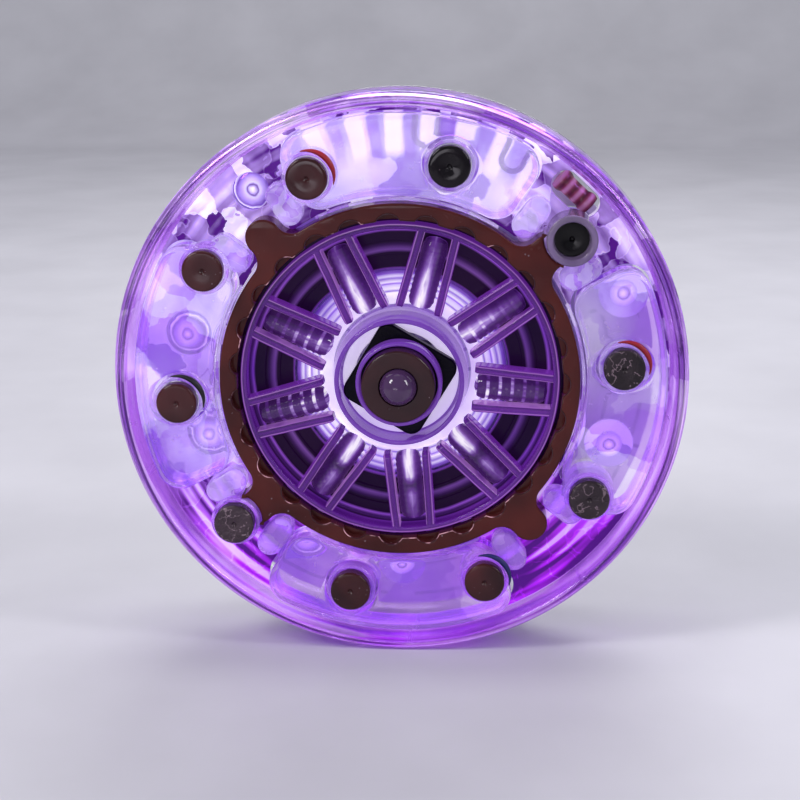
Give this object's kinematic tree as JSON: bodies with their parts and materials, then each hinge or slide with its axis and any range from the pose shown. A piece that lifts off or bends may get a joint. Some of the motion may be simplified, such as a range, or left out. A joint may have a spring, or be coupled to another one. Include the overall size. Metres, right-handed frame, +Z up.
{
  "type": "light up spinning top",
  "caption": "Round clear violet light up spinning top with a press tip, spoked ring, light pads and a rear launcher hub, standing on its rim.",
  "frame": {"origin": "on the surface it stands on, under the middle of the rim: the centre of the bounding box's bottom", "axes": "+Y along the spin axis from the tip towards the launcher hub, so the tip looks along -Y; +Z up, away from the flat of the rim that it stands on; +X to the right as seen from the tip side"},
  "size_m": [0.0704, 0.0254, 0.0704],
  "materials": {
    "violet_clear": "clear violet injection moulding, high gloss",
    "lavender_clear": "pale lavender clear moulding over a frosted back",
    "clear_plastic": "water clear moulding, high gloss",
    "smoke_clear": "smoky violet clear plastic, polished",
    "lamp_clear": "clear epoxy lamp body",
    "brown_gloss": "dark chocolate brown, glossy",
    "brown_steel": "brown blackened steel, glossy",
    "dark_purple": "very dark purple, satin",
    "silvered": "vacuum metallised, mirror bright",
    "white_plastic": "white diffusing plastic",
    "black_plastic": "black, satin",
    "board": "white solder mask",
    "red_insulation": "soft red insulation",
    "black_insulation": "soft black insulation",
    "blue_insulation": "soft dark blue insulation",
    "contact_brass": "sprung sheet, bright",
    "cell_steel": "nickel plated"
  },
  "bodies": {
    "casing": {"lower_housing": "violet_clear", "light_pad_right": "lavender_clear", "light_pad_top": "lavender_clear", "light_pad_left": "lavender_clear", "light_pad_bottom": "lavender_clear", "base_plate": "brown_gloss", "spoke_ring": "violet_clear", "stepped_ring": "dark_purple", "reflector_dish": "silvered", "hub_boss": "violet_clear", "hub_floor": "white_plastic", "switch_cover": "black_plastic", "tip_collar": "violet_clear", "switch_base": "black_plastic", "light_diffuser": "white_plastic", "circuit_board": "board", "lamp_1": "lamp_clear", "lamp_2": "lamp_clear", "lamp_3": "lamp_clear", "lamp_4": "lamp_clear", "lamp_5": "lamp_clear", "lamp_6": "lamp_clear", "lamp_7": "lamp_clear", "resistor": "red_insulation", "control_chip": "black_plastic", "red_wire": "red_insulation", "black_wire": "black_insulation", "blue_wire": "blue_insulation", "battery_holder": "black_plastic", "button_cell_1": "cell_steel", "button_cell_2": "cell_steel", "button_cell_3": "cell_steel", "battery_contact": "contact_brass", "upper_shell": "clear_plastic", "launcher_hub": "violet_clear", "housing_screw_1": "brown_steel", "housing_screw_2": "brown_steel", "housing_screw_3": "brown_steel", "housing_screw_4": "brown_steel", "housing_screw_5": "brown_steel", "housing_screw_6": "brown_steel", "housing_screw_7": "brown_steel", "housing_screw_8": "brown_steel", "housing_screw_9": "brown_steel", "housing_screw_10": "brown_steel"},
    "tip": {"tip_plunger": "brown_gloss", "tip_nub": "smoke_clear", "switch_button": "black_plastic"}
  },
  "joints": [
    {"name": "tip_press", "type": "slide", "parent": "casing", "child": "tip", "axis": [0, 1, 0], "range_m": [0, 0.0009], "stiffness_N_per_m": 400}
  ]
}
